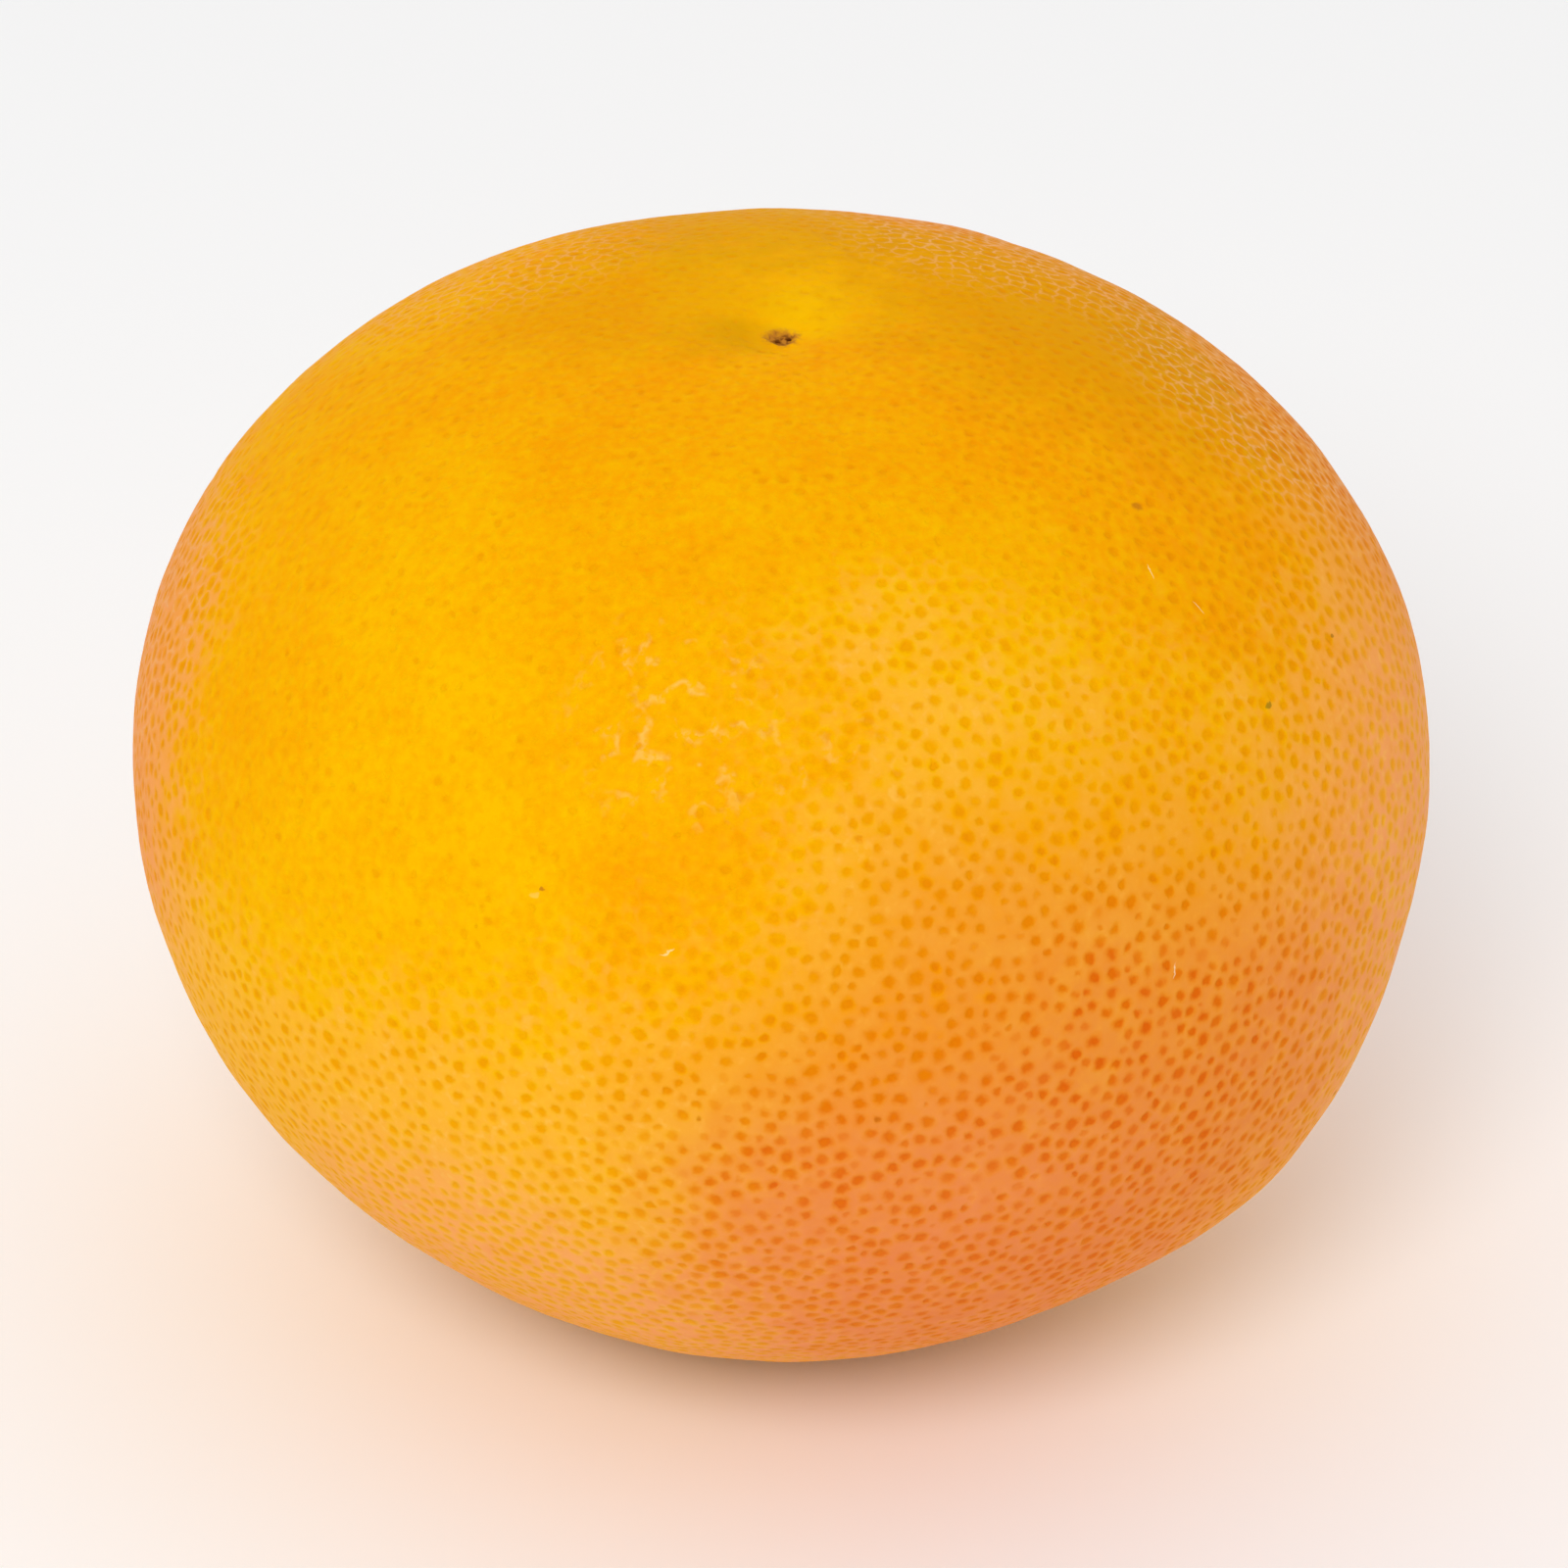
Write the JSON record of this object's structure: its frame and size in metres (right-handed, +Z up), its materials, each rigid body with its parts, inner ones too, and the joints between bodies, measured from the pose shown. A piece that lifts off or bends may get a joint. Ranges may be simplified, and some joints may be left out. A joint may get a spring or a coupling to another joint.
{
  "type": "grapefruit",
  "caption": "Whole round grapefruit, slightly flattened, standing on its stem end with the blossom end on top.",
  "frame": {"origin": "on the surface that the fruit rests on, under the middle of its bounding box", "axes": "+Z up, from the stem end to the blossom end; the side that the picture shows faces -Y; +X to its right"},
  "size_m": [0.1054, 0.1046, 0.0847],
  "materials": {
    "rind": "satin waxy citrus rind with fine oil gland pits, yellow with a peach blush"
  },
  "bodies": {
    "root": {"grapefruit": "rind"}
  },
  "joints": []
}
